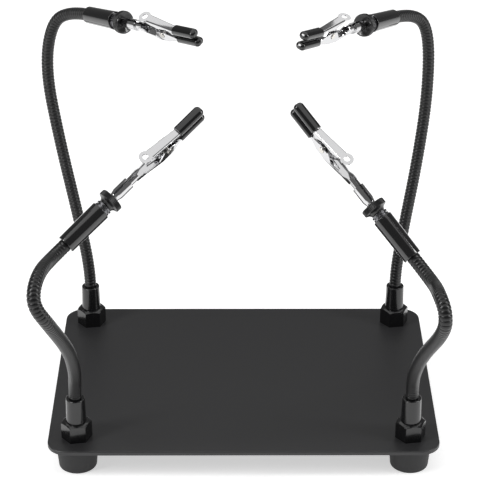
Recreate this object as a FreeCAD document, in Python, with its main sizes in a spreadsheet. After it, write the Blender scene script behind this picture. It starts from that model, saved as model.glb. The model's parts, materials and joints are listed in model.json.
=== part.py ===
import FreeCAD, Part
import Sketcher
import math
import os

# Four-armed circuit-board holder: a steel base plate on rubber feet carries four bendable
# gooseneck arms, and each arm ends in a swivelling crocodile clip with soft tip covers.
# Frame: origin on the bench under the plate's centre, +X to the right, +Y to the back,
# +Z up. All lengths are millimetres and all angles degrees.

Vector = FreeCAD.Vector

SIZES = {
    # base plate
    "plate_width": 190.0,
    "plate_depth": 140.0,
    "plate_thickness": 2.0,
    "plate_corner_radius": 10.0,
    "plate_edge_round": 0.5,
    "mount_inset": 14.0,
    # rubber feet and the screws that hold foot, plate and arm together
    "foot_top_diameter": 21.0,
    "foot_bottom_diameter": 18.4,
    "foot_height": 14.0,
    "foot_edge_round": 1.0,
    "foot_recess_diameter": 12.0,
    "foot_recess_depth": 6.0,
    "screw_diameter": 6.0,
    "screw_length": 25.0,
    "screw_head_diameter": 10.0,
    "screw_head_height": 3.0,
    "screw_socket_diameter": 4.6,
    "screw_socket_depth": 2.0,
    "washer_diameter": 11.4,
    "washer_thickness": 1.0,
    "hole_clearance": 0.25,
    # hexagon base nut and ferrule
    "nut_across_flats": 13.0,
    "nut_height": 9.0,
    "nut_top_diameter": 12.0,
    "nut_chamfer_angle": 32.0,
    "nut_turn": 9.0,
    "ferrule_bottom_diameter": 9.8,
    "ferrule_top_diameter": 9.2,
    "ferrule_length": 13.0,
    "ferrule_edge_round": 0.4,
    # gooseneck
    "tube_diameter": 6.2,
    "knuckle_gap": 1.9,
    "knuckle_clearance": 0.1,
    # head sleeve and swivel stem
    "sleeve_back_diameter": 8.6,
    "sleeve_front_diameter": 9.1,
    "sleeve_length": 22.0,
    "sleeve_edge_round": 0.35,
    "stem_shank_diameter": 5.0,
    "stem_shank_length": 12.0,
    "stem_ring_diameter": 7.6,
    "stem_ring_length": 0.9,
    "stem_groove_diameter": 6.2,
    "stem_groove_length": 0.5,
    "post_diameter": 2.9,
    "post_length": 12.0,
    "running_clearance": 0.05,
    "axial_clearance": 0.3,
    # knurled nut
    "collar_diameter": 11.4,
    "collar_length": 2.6,
    "collar_edge_round": 0.35,
    "flare_neck_diameter": 6.4,
    "flare_middle_diameter": 7.8,
    "flare_neck_length": 1.2,
    "flare_length": 2.2,
    "dish_diameter": 9.2,
    "dish_depth": 1.1,
    "socket_depth": 1.8,
    # clip, with lengths counted from the knurled nut's front face
    "barrel_tail_diameter": 3.9,
    "barrel_wide_diameter": 5.5,
    "barrel_neck_diameter": 3.9,
    "barrel_taper_length": 3.0,
    "barrel_step": 10.2,
    "barrel_length": 15.0,
    "barrel_slit": 1.1,
    "sheet_metal": 0.5,
    "sheet_bend_radius": 0.8,
    "body_width": 6.4,
    "body_depth": 3.5,
    "jaw_width": 3.8,
    "jaw_length": 55.0,
    "jaw_height": 1.6,
    "jaw_offset": 2.6,
    "side_clearance": 0.25,
    "pivot_along": 33.0,
    "pivot_up": 0.6,
    "body_ear_radius": 1.9,
    "lever_ear_radius": 1.4,
    "pin_diameter": 1.6,
    "pin_head_diameter": 2.8,
    "pin_head_height": 0.4,
    "pad_along": 22.2,
    "pad_up": 8.0,
    "pad_diameter": 6.2,
    "pad_hole_diameter": 2.9,
    "wire_diameter": 0.55,
    "coil_radius": 1.4,
    "coil_turns": 4.0,
    "leg_length": 6.0,
    "coil_along": 27.8,
    "coil_up": 0.7,
    # tip covers
    "cover_width": 5.2,
    "cover_height": 4.0,
    "cover_length": 15.0,
    "cover_reach": 56.5,
    "cover_slack": 0.06,
}

# How much of the shorter run each bend's tangent takes.
BEND_SHARE = 0.44

# The way each arm is bent, as points from the ferrule's mouth, and the roll of its clip.
# The bend in the middle sits halfway along the run that starts at point "middle_run".
ARMS = {
    "front_left": {
        "side": (-1, -1),
        "points": [(0, 0, 0), (0, 0, 7), (2, -16, 24), (2.5, -44, 52.5), (-2.5, -76, 84),
                   (-8, -78.5, 94), (-8.5, -75, 100.5), (-6.5, -64.5, 104), (-3, -44.5, 99.8),
                   (2.7, -40.4, 104.1)],
        "middle_run": 3,
        "roll": 29,
    },
    "front_right": {
        "side": (1, -1),
        "points": [(0, 0, 0), (0, 0, 7), (-1, -16, 24), (0, -40.5, 48), (4.5, -77.5, 81),
                   (4.5, -78.5, 91.5), (2, -69.5, 96), (2.4, -46.1, 87.6), (-6.6, -38.6, 96.9)],
        "middle_run": 3,
        "roll": -18,
    },
    "back_left": {
        "side": (-1, 1),
        "points": [(0, 0, 0), (0, 0, 12), (-6, 5, 42), (-14, 12.5, 79), (-20.5, 20, 116),
                   (-16, 20, 142), (-4.9, 14.1, 149.6), (4.5, 3.2, 151.8)],
        "middle_run": 3,
        "roll": 30,
    },
    "back_right": {
        "side": (1, 1),
        "points": [(0, 0, 0), (0, 0, 10), (4, 5, 34), (10, 13, 66), (15, 23, 101),
                   (14.5, 27, 135), (5.4, 21.9, 145.8), (-6.2, 5.2, 149.4)],
        "middle_run": 3,
        "roll": -14,
    },
}


# ---------------------------------------------------------------- document helpers

def make_sheet(doc):
    """The spreadsheet that holds every driving size under a plain name."""
    sheet = doc.addObject("Spreadsheet::Sheet", "Sizes")
    for row, (name, value) in enumerate(SIZES.items(), start=1):
        sheet.set(f"A{row}", name)
        sheet.set(f"B{row}", str(value))
        sheet.setAlias(f"B{row}", name)
    doc.recompute()
    return sheet


def bound(obj, **expressions):
    """Binds properties of obj to formulas in the sheet's names."""
    for name, formula in expressions.items():
        words = []
        for word in formula.split(" "):
            words.append("Sizes." + word if word in SIZES else word)
        obj.setExpression(name, " ".join(words))
    return obj


def lifted(obj, formula):
    """Places obj at a height given by a formula in the sheet's names."""
    return bound(obj, **{".Placement.Base.z": formula})


def cylinder(doc, name, radius, height, z="0"):
    return lifted(bound(doc.addObject("Part::Cylinder", name), Radius=radius, Height=height), z)


def cone(doc, name, low_radius, high_radius, height, z="0"):
    obj = doc.addObject("Part::Cone", name)
    return lifted(bound(obj, Radius1=low_radius, Radius2=high_radius, Height=height), z)


def sphere(doc, name, radius, z="0"):
    return lifted(bound(doc.addObject("Part::Sphere", name), Radius=radius), z)


def cut(doc, name, base, tool):
    obj = doc.addObject("Part::Cut", name)
    obj.Base = base
    obj.Tool = tool
    return obj


def fuse(doc, name, shapes):
    obj = doc.addObject("Part::MultiFuse", name)
    obj.Shapes = shapes
    return obj


def common(doc, name, shapes):
    obj = doc.addObject("Part::MultiCommon", name)
    obj.Shapes = shapes
    return obj


def rounded(doc, name, base, radius, wanted):
    """A fillet of one radius on the circular edges of base that wanted(edge) accepts."""
    doc.recompute()
    picked = []
    for number, edge in enumerate(base.Shape.Edges, start=1):
        if isinstance(edge.Curve, Part.Circle) and wanted(edge):
            picked.append((number, radius, radius))
    obj = doc.addObject("Part::Fillet", name)
    obj.Base = base
    obj.Edges = picked
    return obj


def outer_rim(height, radius):
    """Accepts the full circle of that height and radius."""
    def wanted(edge):
        same_height = abs(edge.Curve.Center.z - height) < 1e-6
        return same_height and abs(edge.Curve.Radius - radius) < 1e-6
    return wanted


def solid_feature(doc, name, shape):
    """A sub-part whose shape comes from Part's own functions."""
    obj = doc.addObject("Part::Feature", name)
    obj.Shape = shape
    return obj


def labelled(obj, label, placement=None):
    obj.Label = label
    if placement is not None:
        obj.Placement = placement
    return obj


# ---------------------------------------------------------------- places

def plate_top(value):
    """Height of the plate's top face above the bench."""
    return value("foot_height") + value("plate_thickness")


def mount_point(value, side):
    """Where an arm's axis meets the plate's top face."""
    x = value("plate_width") / 2 - value("mount_inset")
    y = value("plate_depth") / 2 - value("mount_inset")
    return Vector(side[0] * x, side[1] * y, plate_top(value))


def frame_placement(origin, along, roll):
    """Local Z runs along; local X is the upward side, turned about Z by roll degrees."""
    up = Vector(0, 0, 1)
    x_axis = up - along * up.dot(along)
    x_axis.normalize()
    x_axis = FreeCAD.Rotation(along, roll).multVec(x_axis)
    y_axis = along.cross(x_axis)
    turn = FreeCAD.Rotation(x_axis, y_axis, along, "ZXY")
    return FreeCAD.Placement(origin, turn)


def arm_layout(value, arm):
    """Points, places and directions of one arm's pieces, from the sheet's values."""
    mouth = mount_point(value, arm["side"])
    mouth.z += value("nut_height") + value("ferrule_length")
    points = [mouth + Vector(*p) for p in arm["points"]]
    first = arm["middle_run"]
    middle_run = (points[first + 1] - points[first]).normalize()
    middle_pivot = (points[first] + points[first + 1]) * 0.5
    head = (points[-1] - points[-2]).normalize()
    gap = value("knuckle_gap")
    outward = Vector(mouth.x, mouth.y, 0).normalize()
    head_frame = frame_placement(points[-1], head, arm["roll"])
    local = head_frame.Rotation.multVec
    disc_face = nut_front(value)
    pin = Vector(value("pivot_up"), 0, disc_face + value("pivot_along"))
    return {
        "mouth": mouth,
        "points": points,
        "head_frame": head_frame,
        "middle_pivot": middle_pivot,
        "middle_run": middle_run,
        "base_pivot": mouth + Vector(0, 0, gap),
        "base_axis": Vector(0, 0, 1).cross(outward),
        "middle_axis": inward_axis(middle_run, points[-1] - middle_pivot, outward),
        "head_pivot": points[-1] - head * gap,
        "head_axis": local(Vector(0, 1, 0)),
        "spin_pivot": points[-1] + head * value("sleeve_length"),
        "spin_axis": head,
        "jaw_pivot": head_frame.multVec(pin),
        "jaw_axis": local(Vector(0, 1, 0)),
    }


def inward_axis(run, reach, outward):
    """The level axis square to a run, signed so that a positive turn brings reach inward."""
    axis = Vector(0, 0, 1).cross(run).normalize()
    return axis if axis.cross(reach).dot(outward) < 0 else axis * -1


def stem_front(value):
    """Height of the stem's front ring above the sleeve's back end."""
    rings = 2 * value("stem_ring_length") + value("stem_groove_length")
    return value("sleeve_length") + rings


def nut_front(value):
    """Height of the knurled nut's front face above the sleeve's back end."""
    nut = value("flare_length") + value("collar_length")
    return stem_front(value) + value("axial_clearance") + nut


# ---------------------------------------------------------------- base

def base_plate(doc, value):
    """Flat steel plate with round corners and four clearance holes."""
    body = doc.addObject("PartDesign::Body", "BasePlate")
    planes = {p.Role: p for p in body.Origin.OriginFeatures}
    sketch = body.newObject("Sketcher::SketchObject", "PlateOutline")
    sketch.AttachmentSupport = [(planes["XY_Plane"], "")]
    sketch.MapMode = "FlatFace"
    half_x = value("plate_width") / 2
    half_y = value("plate_depth") / 2
    corners = [(-1, -1), (1, -1), (1, 1), (-1, 1)]
    places = [Vector(sx * half_x, sy * half_y, 0) for sx, sy in corners]
    lines = [
        sketch.addGeometry(Part.LineSegment(places[i], places[(i + 1) % 4]), False)
        for i in range(4)
    ]
    for i in range(4):
        joint = Sketcher.Constraint("Coincident", lines[i], 2, lines[(i + 1) % 4], 1)
        sketch.addConstraint(joint)
    for number, kind in enumerate(["Horizontal", "Vertical", "Horizontal", "Vertical"]):
        sketch.addConstraint(Sketcher.Constraint(kind, lines[number]))
    sketch.addConstraint(Sketcher.Constraint("Symmetric", lines[0], 1, lines[1], 2, -1, 1))
    across = sketch.addConstraint(Sketcher.Constraint("DistanceX", lines[0], 1, lines[0], 2, 1))
    deep = sketch.addConstraint(Sketcher.Constraint("DistanceY", lines[1], 1, lines[1], 2, 1))
    sketch.setExpression(f"Constraints[{across}]", "Sizes.plate_width")
    sketch.setExpression(f"Constraints[{deep}]", "Sizes.plate_depth")
    pad = body.newObject("PartDesign::Pad", "PlateSheet")
    pad.Profile = sketch
    pad.Reversed = True
    bound(pad, Length="plate_thickness")
    doc.recompute()
    upright = [
        f"Edge{i}" for i, e in enumerate(pad.Shape.Edges, start=1)
        if abs(e.BoundBox.ZLength - value("plate_thickness")) < 1e-6
    ]
    corner = body.newObject("PartDesign::Fillet", "PlateCorners")
    corner.Base = (pad, upright)
    bound(corner, Radius="plate_corner_radius")
    doc.recompute()
    top = [
        f"Edge{i}" for i, e in enumerate(corner.Shape.Edges, start=1)
        if abs(e.BoundBox.ZMax) < 1e-6 and abs(e.BoundBox.ZMin) < 1e-6
    ]
    soft = body.newObject("PartDesign::Fillet", "PlateTopEdge")
    soft.Base = (corner, top)
    bound(soft, Radius="plate_edge_round")
    holes = body.newObject("Sketcher::SketchObject", "HoleCentres")
    holes.AttachmentSupport = [(planes["XY_Plane"], "")]
    holes.MapMode = "FlatFace"
    for sx, sy in corners:
        place = mount_point(value, (sx, sy)) - Vector(0, 0, plate_top(value))
        ring = holes.addGeometry(Part.Circle(place, Vector(0, 0, 1), value("screw_diameter")), False)
        size = holes.addConstraint(Sketcher.Constraint("Diameter", ring, value("screw_diameter")))
        holes.setExpression(f"Constraints[{size}]", "Sizes.screw_diameter + 2 * Sizes.hole_clearance")
        for kind, sign, name in (("DistanceX", sx, "plate_width"), ("DistanceY", sy, "plate_depth")):
            offset = place.x if kind == "DistanceX" else place.y
            row = holes.addConstraint(Sketcher.Constraint(kind, -1, 1, ring, 3, offset))
            holes.setExpression(f"Constraints[{row}]", f"{sign} * (Sizes.{name} / 2 - Sizes.mount_inset)")
    drilled = body.newObject("PartDesign::Pocket", "PlateHoles")
    drilled.Profile = holes
    drilled.Type = 1
    body.Tip = drilled
    top_centre = FreeCAD.Placement(Vector(0, 0, plate_top(value)), FreeCAD.Rotation())
    return labelled(body, "base_plate", top_centre)


def foot(doc, value, name, side):
    """Tapered rubber foot with a recess for the screw head and a bore for its shank."""
    block = cone(doc, "FootBlock", "foot_bottom_diameter / 2", "foot_top_diameter / 2",
                 "foot_height", "-1 * foot_height - plate_thickness")
    bottom = -value("foot_height") - value("plate_thickness")
    rim = outer_rim(bottom, value("foot_bottom_diameter") / 2)
    soft = rounded(doc, "FootEdge", block, value("foot_edge_round"), rim)
    recess = cylinder(doc, "FootRecess", "foot_recess_diameter / 2", "foot_recess_depth",
                      "-1 * foot_height - plate_thickness")
    bore = cylinder(doc, "FootBore", "screw_diameter / 2 + hole_clearance", "foot_height",
                    "-1 * foot_height - plate_thickness")
    body = cut(doc, "Foot", soft, fuse(doc, "FootHollow", [recess, bore]))
    return labelled(body, name, FreeCAD.Placement(mount_point(value, side), FreeCAD.Rotation()))


def at_each_mount(doc, value, name, piece):
    """One node of four separate solids: copies of piece at the four mounts."""
    doc.recompute()
    copies = []
    for arm in ARMS.values():
        copy = piece.Shape.copy()
        copy.translate(mount_point(value, arm["side"]))
        copies.append(copy)
    return labelled(solid_feature(doc, "Group", Part.makeCompound(copies)), name)


def screw(doc):
    """Button-head screw with a hexagon socket, head down inside the foot."""
    seat = "-1 * plate_thickness - foot_height + foot_recess_depth - washer_thickness"
    shank = cylinder(doc, "ScrewShank", "screw_diameter / 2", "screw_length", seat)
    head = cylinder(doc, "ScrewHead", "screw_head_diameter / 2", "screw_head_height",
                    seat + " - screw_head_height")
    socket = doc.addObject("Part::Prism", "ScrewSocket")
    socket.Polygon = 6
    bound(socket, Circumradius="screw_socket_diameter / 2", Height="screw_socket_depth")
    lifted(socket, seat + " - screw_head_height")
    return cut(doc, "Screw", fuse(doc, "ScrewBlank", [shank, head]), socket)


def washer(doc):
    """Flat washer between the screw head and the foot's shoulder."""
    seat = "-1 * plate_thickness - foot_height + foot_recess_depth - washer_thickness"
    ring = cylinder(doc, "WasherRing", "washer_diameter / 2", "washer_thickness", seat)
    bore = cylinder(doc, "WasherBore", "screw_diameter / 2 + hole_clearance", "washer_thickness",
                    seat)
    return cut(doc, "Washer", ring, bore)


# ---------------------------------------------------------------- arm, lower pieces

def base_nut(doc, value, name, side):
    """Hexagon nut with a chamfered top, standing on the plate."""
    hexagon = doc.addObject("Part::Prism", "NutHexagon")
    hexagon.Polygon = 6
    bound(hexagon, Circumradius="nut_across_flats / 2 / cos( 30 deg )", Height="nut_height")
    roof = cone(doc, "NutChamfer",
                "nut_top_diameter / 2 + nut_height / tan( nut_chamfer_angle * 1 deg )",
                "nut_top_diameter / 2", "nut_height")
    bore = cylinder(doc, "NutBore", "screw_diameter / 2", "nut_height")
    body = cut(doc, "BaseNut", common(doc, "NutBlank", [hexagon, roof]), bore)
    turn = FreeCAD.Rotation(Vector(0, 0, 1), value("nut_turn"))
    return labelled(body, name, FreeCAD.Placement(mount_point(value, side), turn))


def ferrule(doc, value, name, side):
    """Ferrule with a screw bore below and a round cup for the gooseneck's end above."""
    shell = cone(doc, "FerruleShell", "ferrule_bottom_diameter / 2", "ferrule_top_diameter / 2",
                 "ferrule_length", "nut_height")
    top = value("nut_height") + value("ferrule_length")
    rim = outer_rim(top, value("ferrule_top_diameter") / 2)
    soft = rounded(doc, "FerruleEdge", shell, value("ferrule_edge_round"), rim)
    reach = ("screw_length - plate_thickness - foot_height + foot_recess_depth"
             " - washer_thickness - nut_height")
    bore = cylinder(doc, "FerruleBore", "screw_diameter / 2", reach, "nut_height")
    cup = sphere(doc, "FerruleCup", "tube_diameter / 2 + knuckle_clearance",
                 "nut_height + ferrule_length + knuckle_gap")
    body = cut(doc, "Ferrule", soft, fuse(doc, "FerruleHollow", [bore, cup]))
    return labelled(body, name, FreeCAD.Placement(mount_point(value, side), FreeCAD.Rotation()))


# ---------------------------------------------------------------- gooseneck

def bend_tangents(points):
    """The tangent length of the bend at each inner point of a route."""
    tangents = {}
    for i in range(1, len(points) - 1):
        shorter = min((points[i] - points[i - 1]).Length, (points[i + 1] - points[i]).Length)
        tangents[i] = BEND_SHARE * shorter
    return tangents


def route_edges(points, tangents):
    """Straight runs joined by tangent arcs. tangents holds each inner point's own length."""
    edges = []
    start = points[0]
    for i, tangent in enumerate(tangents, start=1):
        before = (points[i] - points[i - 1]).normalize()
        after = (points[i + 1] - points[i]).normalize()
        enter = points[i] - before * tangent
        leave = points[i] + after * tangent
        towards = (after - before).normalize()
        turn = before.getAngle(after)
        radius = tangent / math.tan(turn / 2)
        centre = points[i] + towards * (radius / math.cos(turn / 2))
        middle = centre - towards * radius
        edges.append(Part.LineSegment(start, enter).toShape())
        edges.append(Part.Arc(enter, middle, leave).toShape())
        start = leave
    edges.append(Part.LineSegment(start, points[-1]).toShape())
    return edges


def swept(edges, radius):
    """A round bar of that radius along the edges."""
    path = Part.Wire(edges)
    first = edges[0]
    start = first.valueAt(first.FirstParameter)
    along = first.tangentAt(first.FirstParameter)
    ring = Part.Wire([Part.makeCircle(radius, start, along)])
    return path.makePipeShell([ring], True, True)


def gooseneck_pieces(value, layout, arm):
    """The lower and upper lengths of one gooseneck. Each has a round end at the knuckle
    that it turns in, and a cup or square end at the other."""
    points = layout["points"]
    tangents = bend_tangents(points)
    gap = value("knuckle_gap")
    radius = value("tube_diameter") / 2
    split = arm["middle_run"] + 1
    low = [layout["base_pivot"]] + points[1:split] + [layout["middle_pivot"]]
    low_turns = [tangents[i] for i in range(1, split)]
    start = layout["middle_pivot"] + layout["middle_run"] * gap
    high = [start] + points[split:-1] + [layout["head_pivot"]]
    high_turns = [tangents[i] for i in range(split, len(points) - 1)]
    lower = swept(route_edges(low, low_turns), radius)
    lower = lower.fuse(Part.makeSphere(radius, low[0])).fuse(Part.makeSphere(radius, low[-1]))
    upper = swept(route_edges(high, high_turns), radius)
    upper = upper.fuse(Part.makeSphere(radius, high[-1]))
    cup = Part.makeSphere(radius + value("knuckle_clearance"), layout["middle_pivot"])
    return lower.removeSplitter(), upper.cut(cup).removeSplitter()


# ---------------------------------------------------------------- head, local frame

def head_sleeve(doc, value):
    """Smooth sleeve with a cup for the gooseneck's end and a bore for the stem's shank."""
    shell = cone(doc, "SleeveShell", "sleeve_back_diameter / 2", "sleeve_front_diameter / 2",
                 "sleeve_length")
    radius = value("sleeve_edge_round")
    back = outer_rim(0, value("sleeve_back_diameter") / 2)
    front = outer_rim(value("sleeve_length"), value("sleeve_front_diameter") / 2)
    soft = rounded(doc, "SleeveEdges", shell, radius, lambda e: back(e) or front(e))
    cup = sphere(doc, "SleeveCup", "tube_diameter / 2 + knuckle_clearance", "-1 * knuckle_gap")
    bore = cylinder(doc, "SleeveBore", "stem_shank_diameter / 2", "stem_shank_length",
                    "sleeve_length - stem_shank_length")
    return cut(doc, "Sleeve", soft, fuse(doc, "SleeveHollow", [cup, bore]))


def swivel_stem(doc):
    """Turned stem: a shank in the sleeve, two rings, and the post that the clip turns on."""
    shank = cylinder(doc, "StemShank", "stem_shank_diameter / 2", "stem_shank_length",
                     "sleeve_length - stem_shank_length")
    ring_one = cylinder(doc, "StemRingBack", "stem_ring_diameter / 2", "stem_ring_length",
                        "sleeve_length")
    groove = cylinder(doc, "StemGroove", "stem_groove_diameter / 2", "stem_groove_length",
                      "sleeve_length + stem_ring_length")
    ring_two = cylinder(doc, "StemRingFront", "stem_ring_diameter / 2", "stem_ring_length",
                        "sleeve_length + stem_ring_length + stem_groove_length")
    post = cylinder(doc, "StemPost", "post_diameter / 2", "post_length",
                    "sleeve_length + 2 * stem_ring_length + stem_groove_length")
    return fuse(doc, "Stem", [shank, ring_one, groove, ring_two, post])


def knurled_nut(doc, value):
    """Flared nut whose wide collar grips the clip's barrel."""
    back = "sleeve_length + 2 * stem_ring_length + stem_groove_length + axial_clearance"
    neck = cone(doc, "NutFlareNeck", "flare_neck_diameter / 2", "flare_middle_diameter / 2",
                "flare_neck_length", back)
    flare = cone(doc, "NutFlare", "flare_middle_diameter / 2", "collar_diameter / 2",
                 "flare_length - flare_neck_length", back + " + flare_neck_length")
    collar = cylinder(doc, "NutCollar", "collar_diameter / 2", "collar_length",
                      back + " + flare_length")
    front = outer_rim(nut_front(value), value("collar_diameter") / 2)
    soft = rounded(doc, "NutFrontEdge", collar, value("collar_edge_round"), front)
    bore = cylinder(doc, "NutPostBore", "post_diameter / 2 + running_clearance",
                    "flare_length + collar_length", back)
    socket = cylinder(doc, "NutSocket", "barrel_tail_diameter / 2", "socket_depth",
                      back + " + flare_length + collar_length - socket_depth")
    dish = cone(doc, "NutDish", "barrel_tail_diameter / 2", "dish_diameter / 2", "dish_depth",
                back + " + flare_length + collar_length - dish_depth")
    solid = fuse(doc, "NutSolid", [neck, flare, soft])
    return cut(doc, "KnurledNut", solid, fuse(doc, "NutHollow", [bore, socket, dish]))


def side_bar(outline, half):
    """A bar across the clip whose side view is the outline of (along, up) points."""
    corners = [Vector(up, -half, along) for along, up in outline]
    return Part.Face(Part.makePolygon(corners + [corners[0]])).extrude(Vector(0, 2 * half, 0))


def channel_section(along, half, edge, corner, side):
    """The closed outline of a channel's section: two round corners at its folded edge and a
    plain open end well past the clip's middle. side is 1 folded above and -1 folded below."""
    open_end = edge - side * 9
    near = edge - side * corner
    bulge = corner * math.sqrt(0.5)
    places = [(open_end, -half), (near, -half), (edge, corner - half), (edge, half - corner),
              (near, half), (open_end, half)]
    points = [Vector(up, across, along) for up, across in places]
    out = near + side * bulge
    wide = half - corner + bulge
    return Part.Wire([
        Part.LineSegment(points[0], points[1]).toShape(),
        Part.Arc(points[1], Vector(out, -wide, along), points[2]).toShape(),
        Part.LineSegment(points[2], points[3]).toShape(),
        Part.Arc(points[3], Vector(out, wide, along), points[4]).toShape(),
        Part.LineSegment(points[4], points[5]).toShape(),
        Part.LineSegment(points[5], points[0]).toShape(),
    ])


def folded_sheet(value, stations, side):
    """A channel of folded sheet through (along, half width, edge) stations."""
    sheet = value("sheet_metal")
    corner = value("sheet_bend_radius")
    outer = [channel_section(c, half, edge, corner, side) for c, half, edge in stations]
    inner_stations = [(c, half - sheet, edge - side * sheet) for c, half, edge in stations]
    first, last = inner_stations[0], inner_stations[-1]
    inner_stations[0] = (first[0] - 1, first[1], first[2])
    inner_stations[-1] = (last[0] + 1, last[1], last[2])
    inner = [channel_section(*station, corner - sheet, side) for station in inner_stations]
    return Part.makeLoft(outer, True, True).cut(Part.makeLoft(inner, True, True))


def cross_pin(value, radius, half_length, offset=0.0):
    """A cylinder along Y through the clip's pivot."""
    place = Vector(value("pivot_up"), -half_length + offset, value("pivot_along"))
    return Part.makeCylinder(radius, 2 * half_length, place, Vector(0, 1, 0))


def bore_along(radius, start, length):
    return Part.makeCylinder(radius, length, Vector(0, 0, start), Vector(0, 0, 1))


def clip_body_shape(value):
    """Lower jaw of folded sheet: rolled barrel, open channel, two ears and the jaw's tip.
    Along is counted from the knurled nut's front face."""
    half = value("body_width") / 2
    jaw = value("jaw_width") / 2
    jaw_end = value("jaw_length")
    jaw_low = -value("jaw_offset") - value("jaw_height") / 2
    jaw_high = jaw_low + value("jaw_height")
    neck = value("barrel_neck_diameter") / 2
    barrel_end = value("barrel_length")
    pivot = value("pivot_along")
    ear = value("body_ear_radius")
    depth = value("body_depth")
    cover_start = value("cover_reach") - value("cover_length")
    stations = [(barrel_end - 1.5, neck, -neck), (barrel_end + 4, neck + 0.4, -neck - 0.3),
                (pivot - 5, half, -depth), (pivot + 2.5, half, -depth - 0.1),
                (cover_start, jaw, jaw_low), (jaw_end, jaw, jaw_low)]
    rim = [(barrel_end - 2, 0.9), (barrel_end + 1, 0.9), (barrel_end + 3.5, -0.9),
           (pivot - ear - 4.5, -1.1), (pivot - ear - 1, 2.4), (pivot + ear + 0.5, 2.2),
           (cover_start - 1.5, -0.5), (cover_start, jaw_high),
           (jaw_end + 1, jaw_high),
           (jaw_end + 1, jaw_low - 1), (barrel_end - 2, jaw_low - 1)]
    channel = folded_sheet(value, stations, -1).common(side_bar(rim, 8.0))
    tail = value("barrel_tail_diameter") / 2
    wide = value("barrel_wide_diameter") / 2
    taper = value("barrel_taper_length")
    step = value("barrel_step")
    bore = value("post_diameter") / 2 + value("running_clearance")
    seat = value("socket_depth")
    barrel = bore_along(tail, -seat, seat)
    barrel = barrel.fuse(Part.makeCone(tail, wide, taper))
    barrel = barrel.fuse(bore_along(wide, taper, step - taper))
    barrel = barrel.fuse(bore_along(neck, step, barrel_end - step))
    barrel = barrel.cut(bore_along(bore, -seat - 1, barrel_end + seat + 2))
    slit = Part.makeBox(2 * wide, value("barrel_slit"), barrel_end + 1,
                        Vector(0, -value("barrel_slit") / 2, 1.2))
    clip = barrel.cut(slit).fuse(channel)
    clip = clip.cut(bore_along(bore, 0, value("barrel_length") - 0.5))
    return clip.cut(cross_pin(value, value("pin_diameter") / 2, 8.0)).removeSplitter()


def clip_lever_shape(value):
    """Upper jaw of folded sheet: an inverted channel with ears, rising to a round thumb pad."""
    sheet = value("sheet_metal")
    half = value("body_width") / 2 - sheet - value("side_clearance")
    jaw = value("jaw_width") / 2
    jaw_end = value("jaw_length")
    jaw_high = value("jaw_offset") + value("jaw_height") / 2
    jaw_low = jaw_high - value("jaw_height")
    pivot = value("pivot_along")
    pivot_up = value("pivot_up")
    ear = value("lever_ear_radius")
    pad = value("pad_along")
    pad_up = value("pad_up")
    cover_start = value("cover_reach") - value("cover_length")
    stations = [(pad, half, pad_up), (cover_start, jaw, jaw_high), (jaw_end, jaw, jaw_high)]
    wall = [(pad + 1, pad_up + 1), (jaw_end + 1, pad_up + 1), (jaw_end + 1, jaw_low),
            (cover_start, jaw_low), (cover_start - 1, 1.0), (pivot + ear, pivot_up),
            (pivot - ear, pivot_up), (pivot - ear - 0.5, 3.2), (pad + 4, pad_up - 2.6),
            (pad + 1, pad_up - sheet)]
    keep = side_bar(wall, 8.0).fuse(cross_pin(value, ear, 8.0))
    channel = folded_sheet(value, stations, 1).common(keep)
    face = Vector(cover_start - pad, 0, pad_up - jaw_high).normalize()
    place = Vector(pad_up, 0, pad) - face * sheet
    disc = Part.makeCylinder(value("pad_diameter") / 2, sheet, place, face)
    hole = Part.makeCylinder(value("pad_hole_diameter") / 2, 4 * sheet, place - face * sheet, face)
    pin_hole = cross_pin(value, value("pin_diameter") / 2 + value("running_clearance"), 8.0)
    return channel.fuse(disc).cut(hole).cut(pin_hole).removeSplitter()


def pivot_pin_shape(value):
    """Rivet through both ears, with a low head outside each."""
    half = value("body_width") / 2
    pin = cross_pin(value, value("pin_diameter") / 2, half)
    head = value("pin_head_height")
    for side in (-1, 1):
        shift = side * (half + head / 2)
        pin = pin.fuse(cross_pin(value, value("pin_head_diameter") / 2, head / 2, shift))
    return pin.removeSplitter()


def jaw_spring_shape(value):
    """Torsion spring behind the rivet: close turns, one leg under the pad and one leg on the
    channel's floor."""
    wire = value("wire_diameter")
    ring = value("coil_radius")
    turns = int(value("coil_turns"))
    centre = Vector(value("coil_up"), 0, value("coil_along"))
    pitch = wire * 0.96
    reach = (turns - 1) / 2 * pitch
    spring = Part.makeTorus(ring, wire / 2, centre + Vector(0, -reach, 0), Vector(0, 1, 0))
    for i in range(1, turns):
        place = centre + Vector(0, i * pitch - reach, 0)
        spring = spring.fuse(Part.makeTorus(ring, wire / 2, place, Vector(0, 1, 0)))
    for side, way in ((-1, Vector(-0.1, 0, -1)), (1, Vector(1.05, 0, -1))):
        start = centre + Vector(side * ring, side * reach, 0)
        spring = spring.fuse(Part.makeCylinder(wire / 2, value("leg_length"), start, way))
    return spring


def cover_shape(value, side):
    """Soft flattened cap over one jaw's tip, round at the end. side is -1 below and 1 above."""
    radius = value("cover_height") / 2
    apart = value("cover_width") / 2 - radius
    centre = side * value("jaw_offset")
    start = value("cover_reach") - value("cover_length")
    straight = value("cover_length") - radius
    end = start + straight
    cap = Part.makeBox(2 * radius, 2 * apart, straight, Vector(centre - radius, -apart, start))
    cap = cap.fuse(Part.makeCylinder(radius, 2 * apart, Vector(centre, -apart, end),
                                     Vector(0, 1, 0)))
    for across in (-apart, apart):
        cap = cap.fuse(Part.makeCylinder(radius, straight, Vector(centre, across, start)))
        cap = cap.fuse(Part.makeSphere(radius, Vector(centre, across, end)))
    slack = value("cover_slack")
    half_high = value("jaw_height") / 2 + slack
    half_wide = value("jaw_width") / 2 + slack
    pocket = Part.makeBox(2 * half_high, 2 * half_wide, value("jaw_length") - start + slack,
                          Vector(centre - half_high, -half_wide, start))
    return cap.cut(pocket).removeSplitter()


# ---------------------------------------------------------------- assembly

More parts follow.
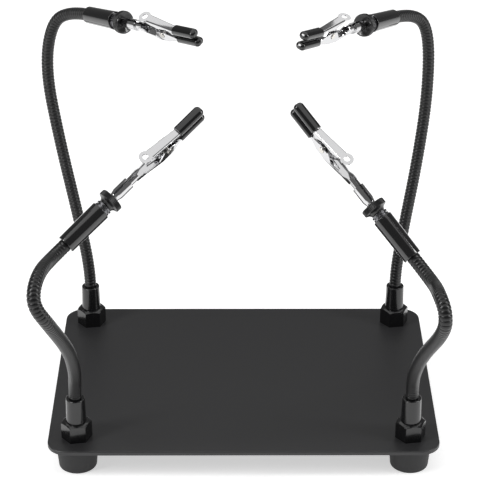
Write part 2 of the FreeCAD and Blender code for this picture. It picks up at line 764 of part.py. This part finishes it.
def make_arm(doc, value, name, arm):
    """All the nodes of one arm."""
    layout = arm_layout(value, arm)
    side = arm["side"]
    lower, upper = gooseneck_pieces(value, layout, arm)
    head = layout["head_frame"]
    clip_frame = head.multiply(FreeCAD.Placement(Vector(0, 0, nut_front(value)),
                                                 FreeCAD.Rotation()))
    nodes = [
        base_nut(doc, value, f"{name}_base_nut", side),
        ferrule(doc, value, f"{name}_ferrule", side),
        labelled(solid_feature(doc, "GooseneckLower", lower), f"{name}_gooseneck_lower"),
        labelled(solid_feature(doc, "GooseneckUpper", upper), f"{name}_gooseneck_upper"),
        labelled(head_sleeve(doc, value), f"{name}_head_sleeve", head),
        labelled(swivel_stem(doc), f"{name}_swivel_stem", head),
        labelled(knurled_nut(doc, value), f"{name}_knurled_nut", head),
    ]
    clip_shapes = {
        "clip_body": clip_body_shape(value),
        "clip_lever": clip_lever_shape(value),
        "pivot_pin": pivot_pin_shape(value),
        "jaw_spring": jaw_spring_shape(value),
        "lower_cover": cover_shape(value, -1),
        "upper_cover": cover_shape(value, 1),
    }
    for piece, shape in clip_shapes.items():
        feature = solid_feature(doc, "Clip" + piece, shape)
        nodes.append(labelled(feature, f"{name}_{piece}", clip_frame))
    return nodes


def build():
    """Makes the document and returns it with its labelled sub-parts."""
    doc = FreeCAD.newDocument("BoardHolder")
    sheet = make_sheet(doc)

    def value(name):
        return float(getattr(sheet, name))

    nodes = [base_plate(doc, value)]
    for name, arm in ARMS.items():
        nodes.append(foot(doc, value, f"{name}_foot", arm["side"]))
    nodes.append(at_each_mount(doc, value, "foot_screws", screw(doc)))
    nodes.append(at_each_mount(doc, value, "foot_washers", washer(doc)))
    for name, arm in ARMS.items():
        nodes += make_arm(doc, value, name, arm)
    doc.recompute()
    return doc, nodes, value


def check(doc, nodes):
    """Stops the build if an object failed or a sub-part's shape is empty or invalid."""
    for obj in doc.Objects:
        if "Invalid" in obj.State or "Error" in obj.State:
            raise RuntimeError(f"{obj.Name} ({obj.Label}) failed: {obj.State}")
    for node in nodes:
        shape = node.Shape
        if shape.isNull() or not shape.isValid() or not shape.Solids:
            raise RuntimeError(f"{node.Label} has no valid solid")


def export(nodes):
    os.makedirs("parts", exist_ok=True)
    for node in nodes:
        node.Shape.exportStep(f"parts/{node.Label}.step")
        print(f"{node.Label}: {len(node.Shape.Solids)} solid, {node.Shape.Volume:.1f} mm3")


def main():
    doc, nodes, _ = build()
    check(doc, nodes)
    export(nodes)


if __name__ == "__main__":
    main()
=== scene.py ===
import json
import math

import bmesh
import bpy
from mathutils import Matrix, Quaternion, Vector


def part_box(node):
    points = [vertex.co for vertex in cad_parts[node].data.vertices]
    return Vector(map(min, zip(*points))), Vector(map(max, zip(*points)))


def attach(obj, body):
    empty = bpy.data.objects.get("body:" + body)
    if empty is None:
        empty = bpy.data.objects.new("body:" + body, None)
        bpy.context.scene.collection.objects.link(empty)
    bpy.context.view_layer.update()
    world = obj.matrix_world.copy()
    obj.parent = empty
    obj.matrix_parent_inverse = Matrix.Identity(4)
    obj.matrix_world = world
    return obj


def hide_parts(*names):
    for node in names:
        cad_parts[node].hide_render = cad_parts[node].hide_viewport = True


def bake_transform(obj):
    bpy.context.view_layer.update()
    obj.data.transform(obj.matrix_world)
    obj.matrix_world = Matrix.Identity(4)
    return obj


# A circuit-board holder: a flat steel base on rubber feet with four coiled goosenecks,
# each ending in a swivelling clip. Lengths are millimetres in the tables below and
# metres everywhere else.

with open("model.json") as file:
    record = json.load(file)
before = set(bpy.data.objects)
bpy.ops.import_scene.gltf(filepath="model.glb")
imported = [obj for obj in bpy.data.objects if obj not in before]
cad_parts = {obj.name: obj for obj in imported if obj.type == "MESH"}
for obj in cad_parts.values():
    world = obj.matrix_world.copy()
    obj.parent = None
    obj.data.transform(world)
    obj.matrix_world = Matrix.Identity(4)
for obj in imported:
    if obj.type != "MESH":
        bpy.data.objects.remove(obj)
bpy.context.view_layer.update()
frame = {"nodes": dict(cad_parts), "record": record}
nodes = frame["nodes"]
body_of_node = {
    node: body
    for body, members in frame["record"]["behaviour"]["bodies"].items()
    for node in members
}

MM = 0.001

# How each gooseneck is bent: the points of its route, counted in millimetres from the
# ferrule's mouth, and the clip's roll in degrees.
NECKS = {
    "front_left": {
        "route": [(0, 0, 0), (0, 0, 7), (2, -16, 24), (2.5, -44, 52.5), (-2.5, -76, 84),
                  (-8, -78.5, 94), (-8.5, -75, 100.5), (-6.5, -64.5, 104), (-3, -44.5, 99.8),
                  (2.7, -40.4, 104.1)],
        "roll": 29,
    },
    "front_right": {
        "route": [(0, 0, 0), (0, 0, 7), (-1, -16, 24), (0, -40.5, 48), (4.5, -77.5, 81),
                  (4.5, -78.5, 91.5), (2, -69.5, 96), (2.4, -46.1, 87.6), (-6.6, -38.6, 96.9)],
        "roll": -18,
    },
    "back_left": {
        "route": [(0, 0, 0), (0, 0, 12), (-6, 5, 42), (-14, 12.5, 79), (-20.5, 20, 116),
                  (-16, 20, 142), (-4.9, 14.1, 149.6), (4.5, 3.2, 151.8)],
        "roll": 30,
    },
    "back_right": {
        "route": [(0, 0, 0), (0, 0, 10), (4, 5, 34), (10, 13, 66), (15, 23, 101),
                  (14.5, 27, 135), (5.4, 21.9, 145.8), (-6.2, 5.2, 149.4)],
        "roll": -14,
    },
}
ROUTE_STEPS = 48
MIDDLE_RUN = 3              # the middle knuckle sits halfway along this run of the route

NECK_RADIUS = 3.1 * MM
COIL_PITCH = 1.8 * MM
COIL_DEPTH = 0.34 * MM
CREST_POWER = 2.4           # over 2 makes the ridges squarer than a half circle
COIL_STATIONS = (0.0, 0.06, 0.2, 0.5, 0.8, 0.94)    # shares of one ridge, groove to groove
NECK_SIDES = 28
END_BEND = 14 * MM          # length that bends beside the ferrule and beside the sleeve
MIDDLE_BEND = 10 * MM       # length that bends on each side of the middle knuckle

SLEEVE_LENGTH = 22.0 * MM
STEM_LENGTH = 2.3 * MM
NUT_GAP = 0.3 * MM
NUT_LENGTH = 4.8 * MM
KNURLS = 46
KNURL_DEPTH = 0.22 * MM
KNURL_INSIDE = 5.5 * MM     # only the collar's outer face is wider than this

EDGE_ANGLE = math.radians(32)
FLAT_ANGLE = math.radians(0.5)      # facets closer than this to level are one flat face
MERGE_GAP = 0.001 * MM
COATING_IOR = 1.5                   # paint, enamel, rubber and vinyl alike

CAMERA_PLACE = (-0.0035, -0.8539, 0.5381)
CAMERA_BELOW_LEVEL = math.radians(27.463)
CAMERA_TURN = -0.0022
CAMERA_SENSOR = 36.0
CAMERA_LENS = 146.3
FLOOR_GLOW = 0.55
ROOM_GLOW = 0.15


# ---------------------------------------------------------------- materials

def linear(hex_colour):
    """An sRGB hex colour as linear RGBA."""
    value = hex_colour.lstrip("#")
    channels = [int(value[i:i + 2], 16) / 255 for i in (0, 2, 4)]
    return [c / 12.92 if c <= 0.04045 else ((c + 0.055) / 1.055) ** 2.4 for c in channels] + [1.0]


def add_node(tree, kind, settings=None, links=None):
    """Adds one node, sets its attributes and inputs, and links its inputs."""
    node = tree.nodes.new(kind)
    for name, value in (settings or {}).items():
        if name in node.inputs:
            node.inputs[name].default_value = value
        else:
            setattr(node, name, value)
    for name, socket in (links or {}).items():
        tree.links.new(socket, node.inputs[name])
    return node


def finish(name, colour, roughness, metallic=0.0, coat=0.0, coat_roughness=0.1, grain=None):
    """A surface of one colour. grain is (size in mm, height in mm) of a fine bump."""
    material = bpy.data.materials.new(name)
    material.use_nodes = True
    tree = material.node_tree
    tree.nodes.clear()
    settings = {"Base Color": linear(colour), "Roughness": roughness, "Metallic": metallic,
                "Coat Weight": coat, "Coat Roughness": coat_roughness}
    if metallic < 1.0:
        settings["IOR"] = COATING_IOR
    links = {}
    if grain:
        place = add_node(tree, "ShaderNodeTexCoord").outputs["Object"]
        noise = add_node(tree, "ShaderNodeTexNoise", {"Scale": 1 / (grain[0] * MM), "Detail": 2.0},
                         {"Vector": place})
        bump = add_node(tree, "ShaderNodeBump", {"Strength": 1.0, "Distance": grain[1] * MM},
                        {"Height": noise.outputs["Fac"]})
        links["Normal"] = bump.outputs["Normal"]
    shader = add_node(tree, "ShaderNodeBsdfPrincipled", settings, links)
    add_node(tree, "ShaderNodeOutputMaterial", links={"Surface": shader.outputs["BSDF"]})
    return material


MATERIALS = {
    # Black powder coat on sheet steel: a fine even texture that blurs what it reflects.
    "black_plate": finish("satin black powder coat", "#29292a", 0.36, grain=(0.5, 0.006)),
    # Moulded rubber: matt, a little grey with dust.
    "rubber_foot": finish("moulded black rubber", "#1d1d1e", 0.62, grain=(0.6, 0.01)),
    # Zinc-plated steel screws and washers.
    "zinc_screw": finish("zinc plated steel", "#c2c3c5", 0.32, metallic=1.0),
    # Black electroplated steel: dark with clear highlights.
    "black_nut": finish("black plated steel nut", "#0e0e0f", 0.2, coat=0.3),
    "black_ferrule": finish("black plated steel ferrule", "#111112", 0.22, coat=0.3),
    # Enamelled coil: black, glossy on the rounded ridges.
    "black_gooseneck": finish("black enamelled coil", "#0b0b0c", 0.32),
    "black_sleeve": finish("gloss black enamel", "#0c0c0d", 0.16, coat=1.0, coat_roughness=0.06),
    # Black plating over turned brass, worn bright: a grey metal shine.
    "bright_stem": finish("turned black plated brass", "#77777a", 0.22, metallic=1.0),
    # Black oiled steel: dark, with a soft shine on the rims.
    "dark_nut": finish("oiled black steel", "#161617", 0.28, coat=0.3),
    # Bright nickel on pressed steel: a mirror with faint waves from the press.
    "nickel_clip": finish("bright nickel plate", "#d2d2d3", 0.1, metallic=1.0,
                          grain=(3.0, 0.02)),
    # The same plating on the rivet's small heads, a little duller.
    "nickel_pin": finish("nickel plated rivet", "#d8d5cf", 0.16, metallic=1.0),
    # Drawn wire: a greyer and softer shine than the plating.
    "spring_steel": finish("drawn spring wire", "#b4b4b6", 0.28, metallic=1.0),
    # Soft vinyl dip: very dark and glossy.
    "soft_cover": finish("gloss black soft vinyl", "#0a0a0b", 0.14, coat=0.6,
                         coat_roughness=0.05),
}


# ---------------------------------------------------------------- helpers

def new_piece(name, shape, slot, body=None):
    """Makes an object of a finished bmesh. It rides on body if one is given."""
    mesh = bpy.data.meshes.new(name)
    shape.to_mesh(mesh)
    shape.free()
    mesh.materials.append(MATERIALS[slot])
    piece = bpy.data.objects.new(name, mesh)
    bpy.context.scene.collection.objects.link(piece)
    if body:
        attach(piece, body)
    return piece


def soften(shape):
    """Smooth shading with sharp edges where faces meet at more than EDGE_ANGLE."""
    for face in shape.faces:
        face.smooth = True
    for edge in shape.edges:
        edge.smooth = not (edge.is_manifold and edge.calc_face_angle(0) > EDGE_ANGLE)


def finished_copy(node, slot, edge_width=0.0):
    """The CAD node's shape with its doubles merged, its flat faces joined, smooth shading,
    and its edges a little rounded when edge_width is given. It stands for the node."""
    shape = bmesh.new()
    shape.from_mesh(nodes[node].data)
    bmesh.ops.remove_doubles(shape, verts=shape.verts, dist=MERGE_GAP)
    bmesh.ops.dissolve_limit(shape, angle_limit=FLAT_ANGLE, verts=shape.verts,
                             edges=shape.edges, use_dissolve_boundaries=False)
    soften(shape)
    piece = new_piece(node + "_finish", shape, slot, body_of_node[node])
    if edge_width:
        bevel = piece.modifiers.new("edges", "BEVEL")
        bevel.width = edge_width
        bevel.segments = 2
        bevel.limit_method = "ANGLE"
        bevel.angle_limit = EDGE_ANGLE
        bevel.harden_normals = True
    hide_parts(node)
    return piece


def repaint(node, slot):
    """Gives a CAD node that stays as it is its material."""
    mesh = nodes[node].data
    mesh.materials.clear()
    mesh.materials.append(MATERIALS[slot])


# ---------------------------------------------------------------- gooseneck

def ferrule_mouth(arm):
    low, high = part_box(arm + "_ferrule")
    return Vector(((low.x + high.x) / 2, (low.y + high.y) / 2, high.z))


def neck_line(arm):
    """Points of a smooth line through the arm's route, and the distance along it of each."""
    mouth = ferrule_mouth(arm)
    curve = bpy.data.curves.new(arm + "_route", "CURVE")
    curve.dimensions = "3D"
    curve.resolution_u = ROUTE_STEPS
    spline = curve.splines.new("NURBS")
    route = NECKS[arm]["route"]
    spline.points.add(len(route) - 1)
    for point, place in zip(spline.points, route):
        point.co = (*(mouth + Vector(place) * MM), 1.0)
    spline.order_u = 3
    spline.use_endpoint_u = True
    holder = bpy.data.objects.new(arm + "_route", curve)
    mesh = bpy.data.meshes.new_from_object(holder)
    line = [v.co.copy() for v in mesh.vertices]
    bpy.data.objects.remove(holder)
    bpy.data.meshes.remove(mesh)
    bpy.data.curves.remove(curve)
    along = [0.0]
    for before, after in zip(line, line[1:]):
        along.append(along[-1] + (after - before).length)
    return line, along


class NeckPath:
    """Places and directions along one gooseneck, by the distance from the ferrule."""

    def __init__(self, arm):
        self.line, self.along = neck_line(arm)
        self.length = self.along[-1]
        start = self.direction(0.0)
        self.sides = []
        side = start.orthogonal().normalized()
        before = start
        for distance in self.along:
            now = self.direction(distance)
            side = before.rotation_difference(now) @ side
            side = (side - now * side.dot(now)).normalized()
            self.sides.append(side)
            before = now

    def index(self, distance):
        low, high = 0, len(self.along) - 2
        while low < high:
            middle = (low + high + 1) // 2
            if self.along[middle] <= distance:
                low = middle
            else:
                high = middle - 1
        return low

    def place(self, distance):
        i = self.index(distance)
        share = (distance - self.along[i]) / (self.along[i + 1] - self.along[i])
        return self.line[i].lerp(self.line[i + 1], share)

    def direction(self, distance):
        reach = 0.2 * MM
        low = max(0.0, distance - reach)
        high = min(self.length, distance + reach)
        return (self.place(high) - self.place(low)).normalized()

    def side(self, distance):
        return self.sides[self.index(distance)]

    def nearest(self, point):
        gaps = [(p - point).length for p in self.line]
        return self.along[gaps.index(min(gaps))]


def coil_radius(share):
    """The gooseneck's radius at a share of one ridge: round crests and narrow grooves."""
    across = abs(2 * share - 1)
    return NECK_RADIUS - COIL_DEPTH * (1 - math.sqrt(1 - across ** CREST_POWER))


def neck_length(name, path, start, end):
    """The coiled tube from start to end along the path. Its end ring is extruded from one
    station to the next. Each end is in a groove, so that neighbours meet unseen."""
    ridges = max(1, round((end - start) / COIL_PITCH))
    stations = [((i + share) / ridges, coil_radius(share))
                for i in range(ridges) for share in COIL_STATIONS]
    stations.append((1.0, coil_radius(0.0)))
    shape = bmesh.new()
    bmesh.ops.create_circle(shape, segments=NECK_SIDES, radius=NECK_RADIUS)
    ring = list(shape.verts)
    edges = list(shape.edges)
    for i, (share, radius) in enumerate(stations):
        distance = start + (end - start) * share
        centre = path.place(distance)
        now = path.direction(distance)
        side = path.side(distance)
        other = now.cross(side)
        if i:
            grown = bmesh.ops.extrude_edge_only(shape, edges=edges)["geom"]
            made = {v for v in grown if isinstance(v, bmesh.types.BMVert)}
            edges = [e for e in grown if isinstance(e, bmesh.types.BMEdge)
                     and e.verts[0] in made and e.verts[1] in made]
            ring = [next(e.other_vert(v) for e in v.link_edges if e.other_vert(v) in made)
                    for v in ring]
        for k, vert in enumerate(ring):
            angle = 2 * math.pi * k / NECK_SIDES
            vert.co = centre + (side * math.cos(angle) + other * math.sin(angle)) * radius
    bmesh.ops.recalc_face_normals(shape, faces=shape.faces)
    for face in shape.faces:
        face.smooth = True
    return new_piece(name, shape, "black_gooseneck")


def gooseneck(arm):
    """Five lengths: two that ride on the lower and upper bodies, and three at the knuckles that
    are left in place with their transforms baked in.
    """
    path = NeckPath(arm)
    mouth = ferrule_mouth(arm)
    route = [mouth + Vector(p) * MM for p in NECKS[arm]["route"]]
    knuckle = (route[MIDDLE_RUN] + route[MIDDLE_RUN + 1]) / 2
    middle = path.nearest(knuckle)
    stops = [0.0, END_BEND, middle - MIDDLE_BEND, middle + MIDDLE_BEND,
             path.length - END_BEND, path.length]
    names = ["neck_root", "neck_low", "neck_middle", "neck_high", "neck_top"]
    lower, upper, head = arm + "_lower", arm + "_upper", arm + "_head"
    riders = [("base", lower), lower, (lower, upper), upper, (upper, head)]
    for name, rider, start, end in zip(names, riders, stops, stops[1:]):
        piece = neck_length(f"{arm}_{name}", path, start, end)
        if isinstance(rider, tuple):
            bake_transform(piece)
        else:
            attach(piece, rider)
            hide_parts(rider.replace("_lower", "_gooseneck_lower")
                        .replace("_upper", "_gooseneck_upper"))


# ---------------------------------------------------------------- head

def head_matrix(arm):
    """From the head's own frame, Z along the sleeve and X on the thumb pad's side, to the
    row's frame. Its origin is the sleeve's back end."""
    mouth = ferrule_mouth(arm)
    end, before = (mouth + Vector(p) * MM for p in NECKS[arm]["route"][:-3:-1])
    along = (end - before).normalized()
    up = Vector((0, 0, 1))
    x_axis = (up - along * up.dot(along)).normalized()
    x_axis = Quaternion(along, math.radians(NECKS[arm]["roll"])) @ x_axis
    y_axis = along.cross(x_axis)
    turn = Matrix((x_axis, y_axis, along)).transposed().to_4x4()
    return Matrix.Translation(end) @ turn


def turned(profile, steps):
    """A closed turned shape: the profile's (radius, height) points spun about Z."""
    shape = bmesh.new()
    verts = [shape.verts.new((radius, 0, height)) for radius, height in profile]
    edges = [shape.edges.new(pair) for pair in zip(verts, verts[1:] + verts[:1])]
    bmesh.ops.spin(shape, geom=verts + edges, cent=(0, 0, 0), axis=(0, 0, 1),
                   angle=2 * math.pi, steps=steps, use_merge=True)
    bmesh.ops.remove_doubles(shape, verts=shape.verts, dist=1e-7)
    bmesh.ops.recalc_face_normals(shape, faces=shape.faces)
    return shape


def knurled_nut(arm):
    """Flared nut with a finely knurled collar and a dished face round the barrel."""
    back = SLEEVE_LENGTH + STEM_LENGTH + NUT_GAP
    front = back + NUT_LENGTH
    profile = [(1.6, 0), (3.1, 0), (3.25, 0.15), (3.5, 0.8), (3.95, 1.3), (4.6, 1.7),
               (5.4, 2.0), (5.66, 2.25), (5.66, 4.5), (5.35, 4.8), (4.7, 4.8), (4.4, 4.65),
               (2.2, 3.8), (2.2, 3.4), (1.6, 3.4)]
    shape = turned([(r * MM, back + h * MM) for r, h in profile], KNURLS * 2)
    for vert in shape.verts:
        radius = math.hypot(vert.co.x, vert.co.y)
        if radius > KNURL_INSIDE:
            tooth = round(math.atan2(vert.co.y, vert.co.x) / math.pi * KNURLS) % 2
            share = 1 - tooth * KNURL_DEPTH / radius
            vert.co.x *= share
            vert.co.y *= share
    bmesh.ops.transform(shape, matrix=head_matrix(arm), verts=shape.verts)
    soften(shape)
    piece = new_piece(arm + "_knurled_collar", shape, "dark_nut", arm + "_clip")
    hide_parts(arm + "_knurled_nut")


# ---------------------------------------------------------------- scene

def build_object():
    finished_copy("base_plate", "black_plate")
    for node in ("foot_screws", "foot_washers"):
        repaint(node, "zinc_screw")
    for arm in NECKS:
        finished_copy(arm + "_foot", "rubber_foot")
        finished_copy(arm + "_base_nut", "black_nut", 0.25 * MM)
        finished_copy(arm + "_ferrule", "black_ferrule")
        gooseneck(arm)
        finished_copy(arm + "_head_sleeve", "black_sleeve")
        finished_copy(arm + "_swivel_stem", "bright_stem", 0.08 * MM)
        knurled_nut(arm)
        finished_copy(arm + "_clip_body", "nickel_clip", 0.06 * MM)
        finished_copy(arm + "_clip_lever", "nickel_clip", 0.06 * MM)
        finished_copy(arm + "_pivot_pin", "nickel_pin", 0.08 * MM)
        finished_copy(arm + "_jaw_spring", "spring_steel")
        for cover in ("lower_cover", "upper_cover"):
            finished_copy(f"{arm}_{cover}", "soft_cover")


def area_light(name, place, aim, size, power):
    light = bpy.data.lights.new(name, "AREA")
    light.shape = "RECTANGLE"
    light.size, light.size_y = size
    light.energy = power
    lamp = bpy.data.objects.new(name, light)
    lamp.location = place
    lamp.rotation_euler = (Vector(aim) - Vector(place)).to_track_quat("-Z", "Y").to_euler()
    bpy.context.scene.collection.objects.link(lamp)


def studio():
    """A pale floor under soft white light."""
    shape = bmesh.new()
    bmesh.ops.create_grid(shape, x_segments=1, y_segments=1, size=4.0)
    bmesh.ops.translate(shape, verts=shape.verts, vec=(0, 1.5, 0))
    mesh = bpy.data.meshes.new("floor")
    shape.to_mesh(mesh)
    shape.free()
    table = finish("lit white table", "#e8e8e8", 0.9)
    shader = table.node_tree.nodes["Principled BSDF"]
    shader.inputs["Emission Color"].default_value = linear("#ffffff")
    shader.inputs["Emission Strength"].default_value = FLOOR_GLOW
    mesh.materials.append(table)
    floor = bpy.data.objects.new("floor", mesh)
    bpy.context.scene.collection.objects.link(floor)
    world = bpy.data.worlds.new("studio")
    world.use_nodes = True
    back = world.node_tree.nodes["Background"]
    back.inputs["Color"].default_value = linear("#ffffff")
    back.inputs["Strength"].default_value = ROOM_GLOW
    bpy.context.scene.world = world
    area_light("left window", (-0.9, -0.5, 0.9), (0, 0, 0.1), (0.2, 0.9), 9)
    area_light("right window", (1.0, -0.3, 0.7), (0, 0, 0.1), (0.16, 0.9), 6)
    area_light("overhead softbox", (0, 0.3, 1.1), (0, 0.3, 0), (1.3, 1.8), 6.5)


def camera():
    data = bpy.data.cameras.new("camera")
    data.sensor_width = CAMERA_SENSOR
    data.lens = CAMERA_LENS
    view = bpy.data.objects.new("camera", data)
    view.location = CAMERA_PLACE
    view.rotation_euler = (math.pi / 2 - CAMERA_BELOW_LEVEL, 0, CAMERA_TURN)
    bpy.context.scene.collection.objects.link(view)
    bpy.context.scene.camera = view
    bpy.context.scene.view_settings.view_transform = "Standard"


build_object()
studio()
camera()
